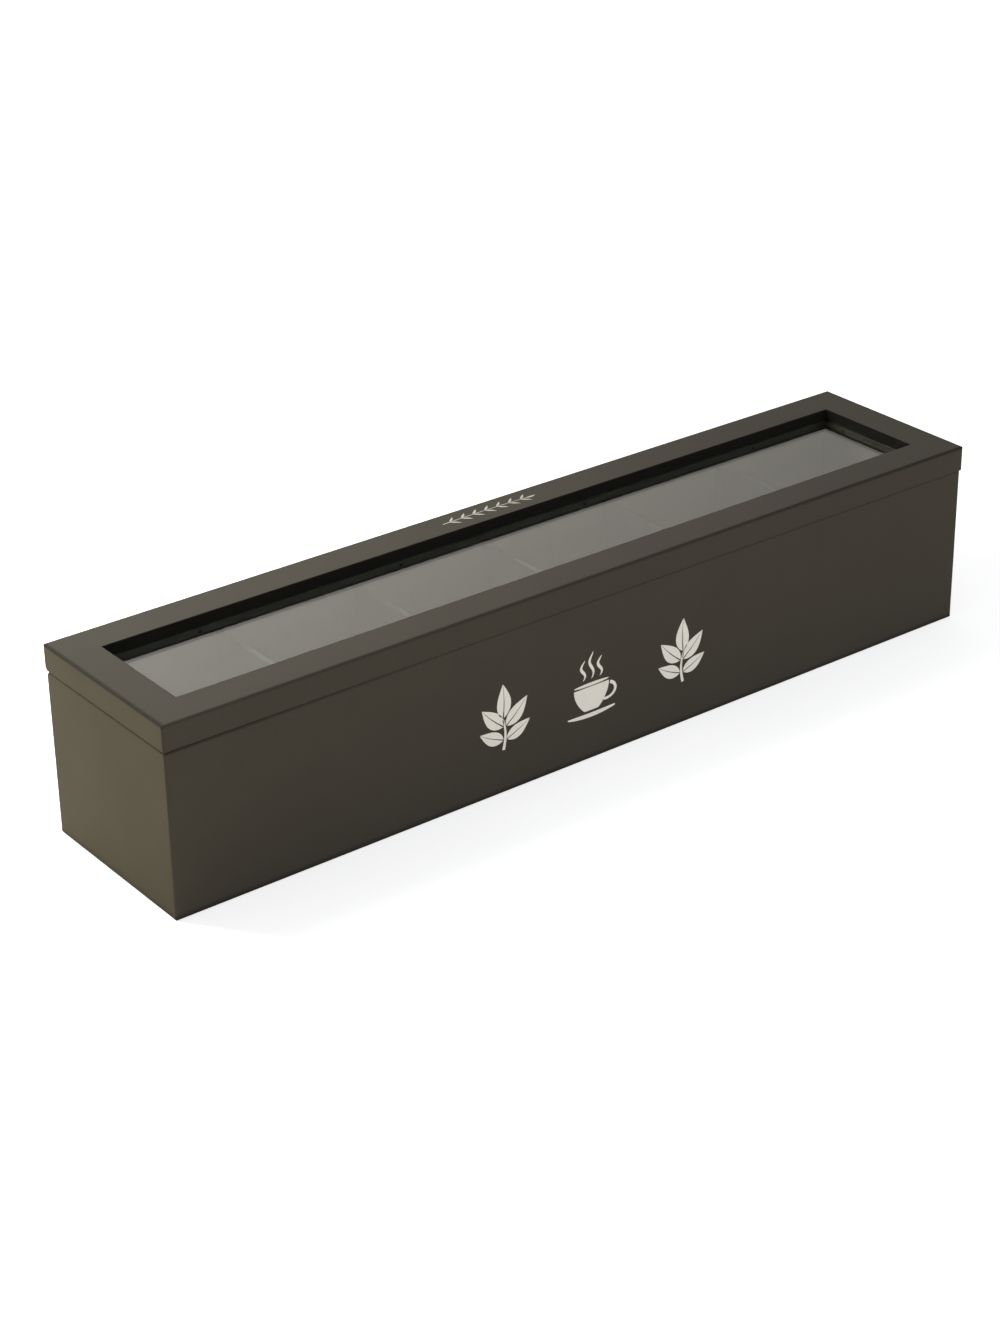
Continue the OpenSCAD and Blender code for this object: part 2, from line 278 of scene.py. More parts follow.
class TEABOX_PG_studio(bpy.types.PropertyGroup):
    camera_place: FloatVectorProperty(
        name="Camera",
        description="Place of the camera",
        subtype="TRANSLATION", unit="LENGTH", default=(-0.68725, -0.87489, 0.59493),
    )
    camera_aim: FloatVectorProperty(
        name="Aim",
        description="Point that the camera looks at, before its shift",
        subtype="TRANSLATION", unit="LENGTH", default=(-0.00229, 0.0189, 0.03127),
    )
    camera_roll: FloatProperty(
        name="Roll",
        description="Turn of the camera about its line of sight",
        unit="ROTATION", default=math.radians(-0.747),
    )
    lens: FloatProperty(
        name="Lens",
        description="Focal length in millimetres on a sensor 36 mm long",
        default=76.94,
    )
    floor_radius: FloatProperty(
        name="Floor radius",
        description="Radius of the pale round floor",
        unit="LENGTH", default=4,
    )


def add_node(tree, kind, inputs=None, **settings):
    """Adds a node with its settings. Each input is a value, or an output to link to it."""
    node = tree.nodes.new(kind)
    for name, value in settings.items():
        setattr(node, name, value)
    for name, value in (inputs or {}).items():
        if isinstance(value, bpy.types.NodeSocket):
            tree.links.new(value, node.inputs[name])
        else:
            node.inputs[name].default_value = value
    return node


def new_material(name):
    """An empty node material and its node tree."""
    material = bpy.data.materials.new(name)
    material.use_nodes = True
    material.node_tree.nodes.clear()
    return material, material.node_tree


def satin_paint(name, colour, settings, window_stain_and_shade=None, with_painted_shade=True):
    # Satin acrylic lacquer, sprayed on sanded fibreboard: a dark, even colour with a soft sheen,
    # faint clouding, and low bumps too small to see one by one, which blur what it mirrors.
    material, tree = new_material(name)
    place = add_node(tree, "ShaderNodeTexCoord").outputs["Object"]
    clouds = add_node(tree, "ShaderNodeTexNoise",
                      {"Vector": place, "Scale": 1 / settings.cloud, "Detail": 3.0})
    thin = [share * (1 + FILM_SWING) for share in colour[:3]] + [1]
    thick = [share * (1 - FILM_SWING) for share in colour[:3]] + [1]
    film = add_node(tree, "ShaderNodeMix", {
        "Factor": clouds.outputs["Fac"],
        "A": thin,
        "B": thick,
    }, data_type="RGBA")
    base = film.outputs["Result"]
    sheen = add_node(tree, "ShaderNodeMapRange", {
        "Value": clouds.outputs["Fac"],
        "To Min": settings.roughness - SHEEN_SWING,
        "To Max": settings.roughness + SHEEN_SWING,
    })
    roughness = sheen.outputs["Result"]
    # Painted shade at the foot, painted shadow under the lid and painted shade on the lid's arris
    if with_painted_shade:
        base = painted_shade_lines(tree, place, base)
    # The window's inner edge goes near-black: partly a dark stain, partly painted shade of the recess
    if window_stain_and_shade:
        inside = window_mask(tree, place)
        stain_and_shade = {"Factor": inside, "A": base, "B": window_stain_and_shade}
        base = add_node(tree, "ShaderNodeMix", stain_and_shade, data_type="RGBA").outputs["Result"]
        dulled = {"Factor": inside, "A": roughness, "B": WINDOW_EDGE_ROUGHNESS}
        roughness = add_node(tree, "ShaderNodeMix", dulled).outputs["Result"]
    peel = add_node(tree, "ShaderNodeTexNoise", {"Vector": place, "Scale": 1 / settings.peel, "Detail": 2.0})
    bumps = add_node(tree, "ShaderNodeBump", {
        "Height": peel.outputs["Fac"],
        "Strength": PEEL_STRENGTH,
        "Distance": PEEL_HEIGHT,
    })
    paint = add_node(tree, "ShaderNodeBsdfPrincipled", {
        "Base Color": base,
        "Roughness": roughness,
        "Specular IOR Level": FILM_SPECULAR,
        "Normal": bumps.outputs["Normal"],
    })
    add_node(tree, "ShaderNodeOutputMaterial", {"Surface": paint.outputs["BSDF"]})
    return material


def painted_shade_lines(tree, place, base):
    """Darkens the film with painted shade: at the foot, under the lid's overhang and on the lid's upper
    arris.
    """
    parts = add_node(tree, "ShaderNodeSeparateXYZ", {"Vector": place}).outputs
    foot = add_node(tree, "ShaderNodeMapRange", {
        "Value": parts["Z"],
        "From Min": FOOT_FROM,
        "From Max": FOOT_TO,
        "To Min": 1 - FOOT_LOSS,
        "To Max": 1.0,
    })

    corner = add_node(tree, "ShaderNodeVectorMath", {0: place, 1: JOINT_CORNER}, operation="DISTANCE")
    worst = add_node(tree, "ShaderNodeMapRange", {
        "Value": corner.outputs["Value"],
        "From Min": 0.0,
        "From Max": JOINT_RUN,
        "To Min": JOINT_LOSS,
        "To Max": 0.0,
    })
    rise = add_node(tree, "ShaderNodeMath", {0: parts["Z"], 1: JOINT_CORNER[2]}, operation="SUBTRACT")
    height = add_node(tree, "ShaderNodeMath", {0: rise.outputs[0]}, operation="ABSOLUTE")
    joint = add_node(tree, "ShaderNodeMapRange", {
        "Value": height.outputs[0],
        "From Min": JOINT_FROM,
        "From Max": JOINT_TO,
        "To Min": worst.outputs["Result"],
        "To Max": 0.0,
    })

    to_faces = []
    for axis, half in (("X", LID_X), ("Y", LID_Y)):
        out = add_node(tree, "ShaderNodeMath", {0: parts[axis]}, operation="ABSOLUTE")
        to_face = add_node(tree, "ShaderNodeMath", {0: half, 1: out.outputs[0]}, operation="SUBTRACT")
        to_faces.append(to_face.outputs[0])
    nearer = add_node(tree, "ShaderNodeMath", {0: to_faces[0], 1: to_faces[1]}, operation="MINIMUM")
    at_end = add_node(tree, "ShaderNodeMath", {0: to_faces[0], 1: to_faces[1]}, operation="LESS_THAN")
    to_top = add_node(tree, "ShaderNodeMath", {0: LID_TOP_Z, 1: parts["Z"]}, operation="SUBTRACT")
    offset = add_node(tree, "ShaderNodeCombineXYZ", {"X": nearer.outputs[0], "Y": to_top.outputs[0]})
    reach = add_node(tree, "ShaderNodeVectorMath", {0: offset.outputs["Vector"]}, operation="LENGTH")
    along = add_node(tree, "ShaderNodeMapRange", {
        "Value": parts["X"],
        "From Min": -LID_X,
        "From Max": LID_X,
        "To Min": ARRIS_LOSS_LEFT,
        "To Max": ARRIS_LOSS,
    })
    loss = add_node(tree, "ShaderNodeMix", {
        "Factor": at_end.outputs[0],
        "A": along.outputs["Result"],
        "B": ARRIS_LOSS,
    })
    arris = add_node(tree, "ShaderNodeMapRange", {
        "Value": reach.outputs["Value"],
        "From Min": ARRIS_FROM,
        "From Max": ARRIS_TO,
        "To Min": loss.outputs["Result"],
        "To Max": 0.0,
    })

    share = foot.outputs["Result"]
    for line in (joint, arris):
        kept = add_node(tree, "ShaderNodeMath", {0: 1.0, 1: line.outputs["Result"]}, operation="SUBTRACT")
        both = {0: share, 1: kept.outputs[0]}
        share = add_node(tree, "ShaderNodeMath", both, operation="MULTIPLY").outputs[0]
    darker = add_node(tree, "ShaderNodeVectorMath", {0: base, "Scale": share}, operation="SCALE")
    return darker.outputs["Vector"]


def window_mask(tree, place):
    """1 on the window's inner edge and 0 on the rest of the lid frame, up to the eased edge."""
    parts = add_node(tree, "ShaderNodeSeparateXYZ", {"Vector": place}).outputs
    masks = []
    for axis, half in (("X", WINDOW_X), ("Y", WINDOW_Y)):
        out = add_node(tree, "ShaderNodeMath", {0: parts[axis]}, operation="ABSOLUTE")
        masks.append(add_node(tree, "ShaderNodeMapRange", {
            "Value": out.outputs[0],
            "From Min": half + WINDOW_SHADE_FROM,
            "From Max": half + WINDOW_SHADE_TO,
            "To Min": 1.0,
            "To Max": 0.0,
        }).outputs["Result"])
    return add_node(tree, "ShaderNodeMath", {0: masks[0], 1: masks[1]}, operation="MINIMUM").outputs[0]


def float_glass(settings):
    # Clear float glass, 2 mm thick: colourless with a breath of green, mirror smooth, and it lets
    # the lamps through to the compartments.
    material, tree = new_material("clear float glass")
    pane = add_node(tree, "ShaderNodeBsdfPrincipled", {
        "Base Color": settings.tint,
        "Roughness": 0.0,
        "IOR": GLASS_IOR,
        "Transmission Weight": 1.0,
    })
    clear = add_node(tree, "ShaderNodeBsdfTransparent", {"Color": settings.tint})
    path = add_node(tree, "ShaderNodeLightPath")
    both = add_node(tree, "ShaderNodeMixShader", {
        0: path.outputs["Is Shadow Ray"],
        1: pane.outputs["BSDF"],
        2: clear.outputs["BSDF"],
    })
    add_node(tree, "ShaderNodeOutputMaterial", {"Surface": both.outputs["Shader"]})
    return material


def brass_plate(settings):
    # Brass-plated steel strip, rolled and tumbled: warm yellow, half bright, with fine rolling marks
    # along the hinge.
    material, tree = new_material("brass plated steel")
    place = add_node(tree, "ShaderNodeTexCoord").outputs["Object"]
    along = add_node(tree, "ShaderNodeMapping", {"Vector": place, "Scale": (MARK_STRETCH, 1.0, 1.0)})
    marks = add_node(tree, "ShaderNodeTexNoise", {
        "Vector": along.outputs["Vector"],
        "Scale": 1 / settings.scratch,
        "Detail": 3.0,
    })
    rough = add_node(tree, "ShaderNodeMapRange", {
        "Value": marks.outputs["Fac"],
        "To Min": BRASS_ROUGHNESS[0],
        "To Max": BRASS_ROUGHNESS[1],
    })
    relief = add_node(tree, "ShaderNodeBump", {
        "Height": marks.outputs["Fac"],
        "Strength": MARK_STRENGTH,
        "Distance": MARK_DEPTH,
    })
    metal = add_node(tree, "ShaderNodeBsdfPrincipled", {
        "Base Color": settings.colour,
        "Metallic": 1.0,
        "Roughness": rough.outputs["Result"],
        "Normal": relief.outputs["Normal"],
    })
    add_node(tree, "ShaderNodeOutputMaterial", {"Surface": metal.outputs["BSDF"]})
    return material


def screen_ink(name, colour):
    # Off-white screen-printing ink: matt and opaque, a little thinner in places, with the faint
    # tooth that the mesh leaves.
    material, tree = new_material(name)
    place = add_node(tree, "ShaderNodeTexCoord").outputs["Object"]
    patches = add_node(tree, "ShaderNodeTexNoise", {"Vector": place, "Scale": 1 / INK_PATCH, "Detail": 4.0})
    thin = [share * (1 - INK_THIN_LOSS) for share in colour[:3]] + [1]
    shade = add_node(tree, "ShaderNodeMix", {
        "Factor": patches.outputs["Fac"],
        "A": colour,
        "B": thin,
    }, data_type="RGBA")
    tooth = add_node(tree, "ShaderNodeTexNoise", {"Vector": place, "Scale": 1 / INK_TOOTH, "Detail": 1.0})
    relief = add_node(tree, "ShaderNodeBump", {
        "Height": tooth.outputs["Fac"],
        "Strength": TOOTH_STRENGTH,
        "Distance": TOOTH_DEPTH,
    })
    ink = add_node(tree, "ShaderNodeBsdfPrincipled", {
        "Base Color": shade.outputs["Result"],
        "Roughness": INK_ROUGHNESS,
        "Specular IOR Level": INK_SPECULAR,
        "Normal": relief.outputs["Normal"],
    })
    add_node(tree, "ShaderNodeOutputMaterial", {"Surface": ink.outputs["BSDF"]})
    return material


def cover(names, material):
    """Gives CAD nodes their material."""
    for name in names:
        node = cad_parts[name]
        node.data.materials.clear()
        node.data.materials.append(material)


def strip(name, left, right, rows):
    """A flat strip in XY: the rows of a grid are scaled, turned and moved between two edges."""
    bpy.ops.object.select_all(action="DESELECT")
    bpy.ops.mesh.primitive_grid_add(x_subdivisions=1, y_subdivisions=rows, size=1)
    piece = bpy.context.object
    piece.name = name
    bpy.ops.object.mode_set(mode="EDIT")
    for row in range(rows, -1, -1):
        start = Vector((0, row / rows - 0.5, 0))
        select_row(piece.data, start.y)
        a, b = Vector((*left(row / rows), 0)), Vector((*right(row / rows), 0))
        turn = math.atan2(b.y - a.y, b.x - a.x)
        bpy.ops.transform.resize(value=((b - a).length, 1, 1), center_override=start)
        bpy.ops.transform.rotate(value=-turn, orient_axis="Z", center_override=start)
        bpy.ops.transform.translate(value=(a + b) / 2 - start + Vector((0, 0, LIFT)))
    bpy.ops.mesh.select_all(action="SELECT")
    bpy.ops.transform.translate(value=(0, 0, -LIFT))
    bpy.ops.mesh.remove_doubles(threshold=DOUBLE)
    bpy.ops.object.mode_set(mode="OBJECT")
    return piece


def select_row(mesh, y):
    """Selects the row of a grid at y that hasn't been lifted yet."""
    edit = bmesh.from_edit_mesh(mesh)
    for vertex in edit.verts:
        vertex.select = abs(vertex.co.y - y) < ROW_CATCH and vertex.co.z < LIFT / 2
    edit.select_flush_mode()
    bmesh.update_edit_mesh(mesh)


def stroke(name, path, width, rows):
    """A strip of varying width along a path, which gives a point for t from 0 to 1."""
    def edge(side):
        def point(t):
            ahead = Vector(path(min(t + STEP, 1)))
            behind = Vector(path(max(t - STEP, 0)))
            along = (ahead - behind).normalized()
            return Vector(path(t)) + side * width(t) / 2 * Vector((-along.y, along.x))
        return point
    return strip(name, edge(1), edge(-1), rows)


def swell(t, power=1.0):
    """Rises from 0 to 1 in the middle of a stroke and falls to 0 again."""
    return max(math.sin(math.pi * t), 0) ** power


def even_width(foot, tip):
    """The width of a stroke that changes evenly from its foot to its tip."""
    return lambda t: foot + (tip - foot) * t


def full_width(ends, more, power):
    """The width of a stroke that is wider by more in its middle than at its ends."""
    return lambda t: ends + more * swell(t, power)


def leaf(name, length, half_width, vein, bow):
    """A pointed leaf along +Y from the origin, in two halves with its midrib left open."""
    halves = []
    for side in (-1, 1):
        def inner(t, side=side):
            return bow * swell(t) + side * vein / 2 * (1 - VEIN_TAPER * t), length * t

        def outer(t, side=side):
            x, y = inner(t)
            return x + side * half_width * swell(t ** LEAF_POWER), y

        left, right = (outer, inner) if side < 0 else (inner, outer)
        halves.append(strip(name, left, right, LEAF_ROWS))
    return join(halves, name)


def join(pieces, name):
    """Joins pieces into one mesh."""
    bpy.ops.object.select_all(action="DESELECT")
    for piece in pieces:
        piece.select_set(True)
    bpy.context.view_layer.objects.active = pieces[0]
    bpy.ops.object.join()
    pieces[0].name = name
    return pieces[0]


def placed_copy(source, at, turn, size=1.0, flip=1):
    """A copy with its own mesh, turned anticlockwise and moved in XY, with its place in its mesh."""
    bpy.ops.object.select_all(action="DESELECT")
    source.select_set(True)
    bpy.context.view_layer.objects.active = source
    bpy.ops.object.duplicate()
    copy = bpy.context.object
    copy.scale = (flip * size, size, 1)
    copy.rotation_euler = (0, 0, turn)
    copy.location = (*at, 0)
    bpy.ops.object.transform_apply()
    return copy


def remove(piece):
    """Removes a pattern piece that its copies have taken the place of."""
    bpy.ops.object.select_all(action="DESELECT")
    piece.select_set(True)
    bpy.ops.object.delete()


def sprig(name):
    """A tea sprig, 31 mm high: a bud leaf over two pairs of leaves on a bowed stem."""
    stem_height = 14.2 * MM
    stem_bow = 1.1 * MM
    clear = 1.1 * MM
    # Each leaf's place along the stem from 0 to 1, its angle in degrees and its size
    leaves = ((0.98, 0, 1.0), (0.72, 46, 0.98), (0.72, -46, 0.98), (0.3, 64, 0.86), (0.3, -64, 0.86))

    def stem(t):
        return stem_bow * math.sin(math.pi * t), stem_height * t

    parts = [stroke(name, stem, even_width(foot=1.5 * MM, tip=0.8 * MM), rows=10)]
    long_leaf = leaf("long_leaf", length=15.8 * MM, half_width=3.5 * MM, vein=0.6 * MM, bow=0.5 * MM)
    for t, angle, size in leaves:
        turn = math.radians(angle)
        at = Vector(stem(t)) + clear * Vector((-math.sin(turn), math.cos(turn)))
        parts.append(placed_copy(long_leaf, at, turn, size, -1 if angle > 0 else 1))
    remove(long_leaf)
    return join(parts, name)


def teacup(name):
    """A steaming cup on its saucer, 31 mm high, and left of its middle to leave room for its handle."""
    middle = -2 * MM
    bowl_foot, bowl_spread, bowl_roundness = 3.6 * MM, 6.0 * MM, 0.8
    bowl_start, bowl_height = 3.2 * MM, 11.3 * MM
    saucer_length, saucer_height, saucer_rise = 26 * MM, 0.9 * MM, 0.9 * MM
    rim_length, rim_height = 19.4 * MM, 15.7 * MM
    handle_x, handle_reach = 8.0 * MM, 5.2 * MM
    handle_y, handle_half = 10.0 * MM, 3.8 * MM
    handle_start, handle_sweep = math.radians(64), math.radians(168)
    steam_start, steam_sway, steam_waves = 18.2 * MM, 1.1 * MM, 1.15
    # Each wisp's distance from the cup's middle and its height
    wisps = ((-4.6 * MM, 9.5 * MM), (0, 12.6 * MM), (4.6 * MM, 9.5 * MM))

    def bowl(side):
        def edge(t):
            half = bowl_foot + bowl_spread * math.sin(t * math.pi / 2) ** bowl_roundness
            return middle + side * half, bowl_start + bowl_height * t
        return edge

    def saucer(t):
        return middle + saucer_length * (t - 0.5), saucer_height + saucer_rise * (2 * t - 1) ** 2

    def rim(t):
        return middle + rim_length * (t - 0.5), rim_height

    def handle(t):
        angle = handle_start - handle_sweep * t
        x = middle + handle_x + handle_reach * math.cos(angle)
        return x, handle_y + handle_half * math.sin(angle)

    parts = [
        strip(name, bowl(-1), bowl(1), rows=16),
        stroke(name, saucer, full_width(ends=0.5 * MM, more=1.5 * MM, power=0.6), rows=20),
        stroke(name, rim, full_width(ends=0, more=1.5 * MM, power=0.5), rows=20),
        stroke(name, handle, even_width(foot=1.5 * MM, tip=1.2 * MM), rows=18),
    ]
    for aside, rise in wisps:
        def steam(t, aside=aside, rise=rise):
            sway = steam_sway * math.sin(2 * math.pi * steam_waves * t)
            return middle + aside + sway, steam_start + rise * t

        parts.append(stroke(name, steam, full_width(ends=0.15 * MM, more=1.25 * MM, power=0.8), rows=20))
    return join(parts, name)


def garland(name, length):
    """A slightly bowed twig with pairs of small leaves and a leaf at its tip, centred on the origin."""
    pairs = 7
    pair_size = 0.95
    leaf_length, leaf_width, leaf_bow = 5.4 * MM, 1.15 * MM, 0.3 * MM
    stem_bow = 0.5 * MM
    clear = 0.5 * MM
    ahead, splay = math.radians(-90), math.radians(40)
    run = length - leaf_length

    def stem(t):
        return run * t - length / 2, stem_bow * math.sin(math.pi * t)

    def leaf_path(t):
        return leaf_bow * swell(t), leaf_length * t

    def leaf_breadth(t):
        return leaf_width * swell(t ** SMALL_LEAF_POWER)

    parts = [stroke(name, stem, even_width(foot=0.45 * MM, tip=0.3 * MM), rows=24)]
    small_leaf = stroke("small_leaf", leaf_path, leaf_breadth, rows=12)
    for number in range(pairs):
        foot = Vector(stem((number + 0.5) / pairs))
        for side in (-1, 1):
            turn = ahead + side * splay
            at = foot + clear * Vector((-math.sin(turn), math.cos(turn)))
            parts.append(placed_copy(small_leaf, at, turn, pair_size, side))
    parts.append(placed_copy(small_leaf, stem(1), ahead))
    remove(small_leaf)
    return join(parts, name)


def print_on(piece, film, ink, body, place, upright):
    """Gives a flat motif its ink film, stands it up if it is on an upright face, and moves it there."""
    bpy.ops.object.select_all(action="DESELECT")
    piece.select_set(True)
    bpy.context.view_layer.objects.active = piece
    bpy.ops.object.mode_set(mode="EDIT")
    bpy.ops.mesh.select_all(action="SELECT")
    bpy.ops.mesh.extrude_region_move(TRANSFORM_OT_translate={"value": (0, 0, film)})
    bpy.ops.mesh.select_all(action="SELECT")
    bpy.ops.mesh.normals_make_consistent(inside=False)
    bpy.ops.object.mode_set(mode="OBJECT")
    piece.rotation_euler = (math.radians(90) if upright else 0, 0, 0)
    piece.location = place
    bpy.ops.object.transform_apply()
    piece.data.materials.append(ink)
    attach(piece, body)


class TEABOX_OT_paint_outside(bpy.types.Operator):
    """Paints the four walls and the lid frame with its beads, with painted shade at the foot, under the lid,
    on the lid's arris and in the window, and stains over the heads of the pins
    """
    bl_idname = "teabox.paint_outside"
    bl_label = "Paint the box and the lid"

    def execute(self, context):
        paint = context.scene.tea_box_paint
        cover(BOARDS, satin_paint("satin paint on fibreboard", paint.colour, paint))
        framed = satin_paint("satin paint on the lid frame", paint.colour, paint, paint.window_stain_and_shade)
        cover(RAILS + BEADS, framed)
        # The pin heads take the window edge's near-black, partly stain and partly painted shade
        pins = satin_paint("stain over the pin heads", paint.window_stain_and_shade, paint, with_painted_shade=False)
        cover(("bead_pins",), pins)
        return {"FINISHED"}


class TEABOX_OT_paint_inside(bpy.types.Operator):
    """Paints the bottom and the dividers near-black: a darker coat, with painted shade of the covered
    compartments
    """
    bl_idname = "teabox.paint_inside"
    bl_label = "Paint the compartments"

    def execute(self, context):
        paint = context.scene.tea_box_paint
        # A darker coat, darkened further as painted shade of the compartments
        coat = satin_paint("thin coat and painted shade inside the box", paint.inner_coat_and_shade, paint, with_painted_shade=False)
        cover(LINING, coat)
        return {"FINISHED"}


class TEABOX_OT_glaze_lid(bpy.types.Operator):
    """Gives the pane its glass"""
    bl_idname = "teabox.glaze_lid"
    bl_label = "Glaze the lid"

    def execute(self, context):
        cover(("lid_glass",), float_glass(context.scene.tea_box_glass))
        return {"FINISHED"}


class TEABOX_OT_plate_hardware(bpy.types.Operator):
    """Plates the hinges, their pins and their screws"""
    bl_idname = "teabox.plate_hardware"
    bl_label = "Plate the hinges"

    def execute(self, context):
        cover(HINGES, brass_plate(context.scene.tea_box_plating))
        return {"FINISHED"}


class TEABOX_OT_print_motifs(bpy.types.Operator):
    """Prints the two sprigs and the cup on the front, and the garland on the lid"""
    bl_idname = "teabox.print_motifs"
    bl_label = "Print the front and the lid"

    def execute(self, context):
        settings = context.scene.tea_box_print
        ink = screen_ink("screen printed ink", settings.ink)
        fine_ink = screen_ink("thin screen printed ink", settings.fine_ink)
        left = sprig("front_print_left")
        right = placed_copy(left, (0, 0), 0, flip=-1)
        right.name = "front_print_right"
        middle = teacup("front_print_middle")
        for number, motif in enumerate((left, middle, right)):
            x = settings.middle + (number - 1) * settings.pitch
            print_on(motif, settings.film, ink, "box", (x, FRONT_Y, settings.foot), True)
        vine = garland("lid_print", settings.garland)
        place = (settings.garland_middle, BACK_RAIL_Y, LID_TOP_Z)
        print_on(vine, settings.film, fine_ink, "lid", place, False)
        return {"FINISHED"}


class TEABOX_OT_set_studio(bpy.types.Operator):
    """Lays the floor, sets the light and places the camera"""
    bl_idname = "teabox.set_studio"
    bl_label = "Set the studio"

    def execute(self, context):
        settings = context.scene.tea_box_studio
        lay_floor(settings)
        light_studio(context.scene)
        place_camera(context.scene, settings)
        context.scene.view_settings.view_transform = "Standard"
        return {"FINISHED"}


def lay_floor(settings):
    """A pale round floor, white where no shadow falls. It is open from below and under the box."""
    bpy.ops.object.select_all(action="DESELECT")
    bpy.ops.mesh.primitive_circle_add(vertices=FLOOR_SIDES, radius=settings.floor_radius, fill_type="NGON")
    floor = bpy.context.object
    floor.name = "floor"
    material, tree = new_material("cream studio floor")
    place = add_node(tree, "ShaderNodeTexCoord").outputs["Object"]
    distance = add_node(tree, "ShaderNodeVectorMath", {0: place}, operation="LENGTH")
    lift = add_node(tree, "ShaderNodeMapRange", {
        "Value": distance.outputs["Value"],
        "From Min": GLOW_FROM,
        "From Max": GLOW_TO,
        "To Min": GLOW_NEAR,
        "To Max": 1.0,
    }, interpolation_type="SMOOTHSTEP")
    path = add_node(tree, "ShaderNodeLightPath")
    seen = add_node(tree, "ShaderNodeMath", {
        0: path.outputs["Is Camera Ray"],
        1: path.outputs["Is Transmission Ray"],
    }, operation="MAXIMUM")
    white = add_node(tree, "ShaderNodeBsdfDiffuse", {"Color": linear(FLOOR_WHITE)})
    glow = add_node(tree, "ShaderNodeEmission", {"Strength": lift.outputs["Result"]})
    lit = add_node(tree, "ShaderNodeAddShader", {0: white.outputs["BSDF"], 1: glow.outputs["Emission"]})
    cream = add_node(tree, "ShaderNodeBsdfDiffuse", {"Color": linear(FLOOR_CREAM)})
    both = add_node(tree, "ShaderNodeMixShader", {
        0: seen.outputs["Value"],
        1: cream.outputs["BSDF"],
        2: lit.outputs["Shader"],
    })
    clear = add_node(tree, "ShaderNodeBsdfTransparent")
    open_below = add_node(tree, "ShaderNodeMixShader", {
        0: floor_opening(tree, place),
        1: both.outputs["Shader"],
        2: clear.outputs["BSDF"],
    })
    add_node(tree, "ShaderNodeOutputMaterial", {"Surface": open_below.outputs["Shader"]})
    floor.data.materials.append(material)


def floor_opening(tree, place):
    """1 where the floor is seen from below or lies under the box, and 0 elsewhere."""
    parts = add_node(tree, "ShaderNodeSeparateXYZ", {"Vector": place}).outputs
    within = []
    for axis, half in (("X", END_X), ("Y", -FRONT_Y)):
        out = add_node(tree, "ShaderNodeMath", {0: parts[axis]}, operation="ABSOLUTE")
        limits = {0: out.outputs["Value"], 1: half - FLOOR_LAP}
        within.append(add_node(tree, "ShaderNodeMath", limits, operation="LESS_THAN").outputs["Value"])
    under_box = add_node(tree, "ShaderNodeMath", {0: within[0], 1: within[1]}, operation="MINIMUM")
    from_below = add_node(tree, "ShaderNodeNewGeometry").outputs["Backfacing"]
    either = {0: under_box.outputs["Value"], 1: from_below}
    return add_node(tree, "ShaderNodeMath", either, operation="MAXIMUM").outputs["Value"]


def light_studio(scene):
    """A white backdrop, a lit panel that only mirroring surfaces see, even light and two soft lamps."""
    world = bpy.data.worlds.new("studio")
    world.use_nodes = True
    scene.world = world
    tree = world.node_tree
    tree.nodes.clear()
    path = add_node(tree, "ShaderNodeLightPath")
    shed = add_node(tree, "ShaderNodeBackground", {
        "Color": linear(SHED_COLOUR),
        "Strength": SHED_STRENGTH,
    })
    panel = add_node(tree, "ShaderNodeBackground", {
        "Color": linear(PANEL_COLOUR),
        "Strength": panel_strength(tree, path),
    })
    backdrop = add_node(tree, "ShaderNodeBackground", {"Color": (1, 1, 1, 1), "Strength": 1.0})
    for_shine = add_node(tree, "ShaderNodeMath", {
        0: path.outputs["Is Glossy Ray"],
        1: path.outputs["Is Transmission Ray"],
    }, operation="MAXIMUM")
    light = add_node(tree, "ShaderNodeMixShader", {
        0: for_shine.outputs["Value"],
        1: shed.outputs["Background"],
        2: panel.outputs["Background"],
    })
    dome = add_node(tree, "ShaderNodeMixShader", {
        0: path.outputs["Is Camera Ray"],
        1: light.outputs["Shader"],
        2: backdrop.outputs["Background"],
    })
    add_node(tree, "ShaderNodeOutputWorld", {"Surface": dome.outputs["Shader"]})
    hang_lamp(
        scene, "key_lamp", place=(-0.27, 0.25, 0.42), aim=(-0.12, 0, 0.06),
        size=0.28, power=4.35, colour=(0.98, 1.0, 0.98),
    )
    hang_lamp(
        scene, "fill_lamp", place=(0.4, -2.0, 0.45), aim=(0, 0, 0.04),
        size=1.2, power=19, colour=(0.93, 1.06, 1.3),
    )


def panel_strength(tree, path):
    """The strength of the mirrored panel in the direction of a ray."""
    direction = add_node(tree, "ShaderNodeTexCoord").outputs["Generated"]
    parts = add_node(tree, "ShaderNodeSeparateXYZ", {"Vector": direction}).outputs
    fall = add_node(tree, "ShaderNodeMapRange", {
        "Value": parts["X"],
        "From Min": PANEL_X[0],
        "From Max": PANEL_X[1],
        "To Min": PANEL_STRENGTH,
        "To Max": 0.0,
    })
    rise = add_node(tree, "ShaderNodeMapRange", {
        "Value": parts["Z"],
        "From Min": PANEL_START_Z[0],
        "From Max": PANEL_START_Z[1],
    })
    top = add_node(tree, "ShaderNodeMapRange", {
        "Value": parts["Z"],
        "From Min": PANEL_DIM_Z[0],
        "From Max": PANEL_DIM_Z[1],
        "To Min": 1.0,
        "To Max": PANEL_DIM_SHARE,
    })
    low = add_node(tree, "ShaderNodeMath", {
        0: path.outputs["Is Transmission Ray"],
        1: LOW_SKY_MORE,
        2: LOW_SKY,
    }, operation="MULTIPLY_ADD")
    lower = add_node(tree, "ShaderNodeMix", {
        "Factor": rise.outputs["Result"],
        "A": low.outputs["Value"],
        "B": fall.outputs["Result"],
    })
    mirrored = {0: lower.outputs["Result"], 1: top.outputs["Result"]}
    return add_node(tree, "ShaderNodeMath", mirrored, operation="MULTIPLY").outputs["Value"]


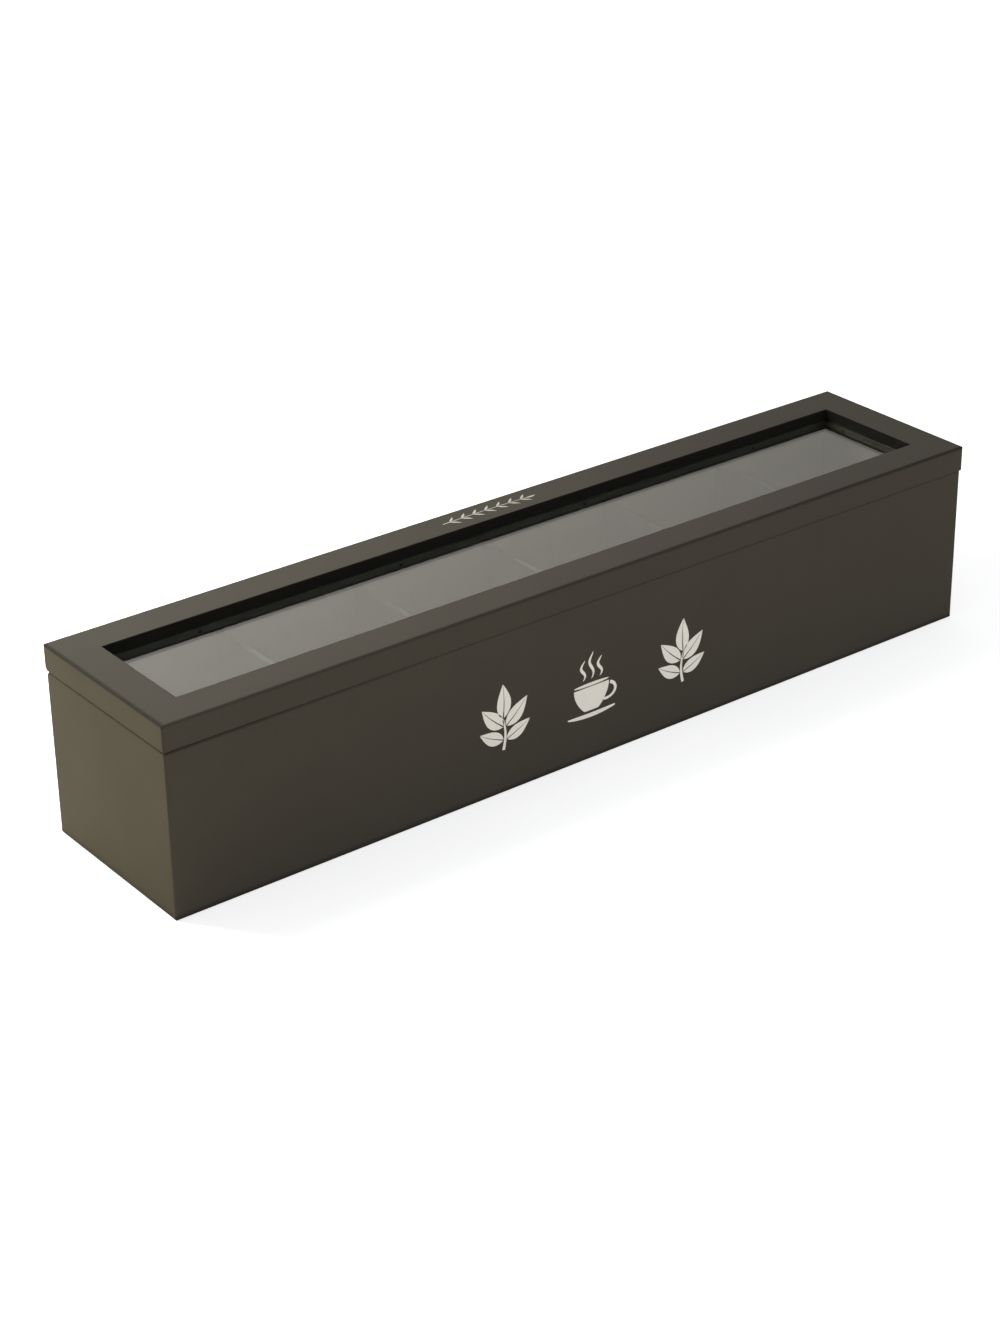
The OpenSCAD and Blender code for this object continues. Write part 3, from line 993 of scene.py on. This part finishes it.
def hang_lamp(scene, name, place, aim, size, power, colour):
    """A square soft lamp that points at a spot on the box."""
    lamp = bpy.data.objects.new(name, bpy.data.lights.new(name, "AREA"))
    scene.collection.objects.link(lamp)
    lamp.data.size = size
    lamp.data.energy = power
    lamp.data.color = colour
    lamp.visible_glossy = False
    lamp.location = place
    lamp.rotation_mode = "QUATERNION"
    lamp.rotation_quaternion = (Vector(aim) - Vector(place)).to_track_quat("-Z", "Y")


def place_camera(scene, settings):
    """The camera stands where the box was photographed from."""
    camera = bpy.data.objects.new("camera", bpy.data.cameras.new("camera"))
    scene.collection.objects.link(camera)
    scene.camera = camera
    place = Vector(settings.camera_place)
    sight = Vector(settings.camera_aim) - place
    camera.location = place
    camera.rotation_mode = "QUATERNION"
    camera.rotation_quaternion = sight.to_track_quat("-Z", "Y") @ Quaternion((0, 0, 1), settings.camera_roll)
    camera.data.lens = settings.lens
    camera.data.sensor_width = SENSOR_LONG_SIDE
    camera.data.shift_x = SHIFT_PIXELS[0] / PHOTO_LONG_SIDE
    camera.data.shift_y = SHIFT_PIXELS[1] / PHOTO_LONG_SIDE
    camera.data.clip_end = VIEW_END


class TEABOX_PT_sidebar(bpy.types.Panel):
    bl_label = "Tea Bag Box"
    bl_space_type = "VIEW_3D"
    bl_region_type = "UI"
    bl_category = "Tea Box"

    def draw(self, context):
        for operator, group in STEPS:
            self.layout.operator(operator.bl_idname)
            settings = getattr(context.scene, group)
            for name in settings.__annotations__:
                self.layout.prop(settings, name)


STEPS = (
    (TEABOX_OT_paint_outside, "tea_box_paint"),
    (TEABOX_OT_paint_inside, "tea_box_paint"),
    (TEABOX_OT_glaze_lid, "tea_box_glass"),
    (TEABOX_OT_plate_hardware, "tea_box_plating"),
    (TEABOX_OT_print_motifs, "tea_box_print"),
    (TEABOX_OT_set_studio, "tea_box_studio"),
)
GROUPS = {
    "tea_box_paint": TEABOX_PG_paint,
    "tea_box_glass": TEABOX_PG_glass,
    "tea_box_plating": TEABOX_PG_plating,
    "tea_box_print": TEABOX_PG_print,
    "tea_box_studio": TEABOX_PG_studio,
}


def register():
    for name, group in GROUPS.items():
        bpy.utils.register_class(group)
        setattr(bpy.types.Scene, name, PointerProperty(type=group))
    for operator, _ in STEPS:
        bpy.utils.register_class(operator)
    bpy.utils.register_class(TEABOX_PT_sidebar)


def unregister():
    bpy.utils.unregister_class(TEABOX_PT_sidebar)
    for operator, _ in reversed(STEPS):
        bpy.utils.unregister_class(operator)
    for name, group in GROUPS.items():
        delattr(bpy.types.Scene, name)
        bpy.utils.unregister_class(group)


def main():
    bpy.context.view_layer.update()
    register()
    for operator, _ in STEPS:
        group, action = operator.bl_idname.split(".")
        getattr(getattr(bpy.ops, group), action)()


if __name__ == "__main__":
    main()
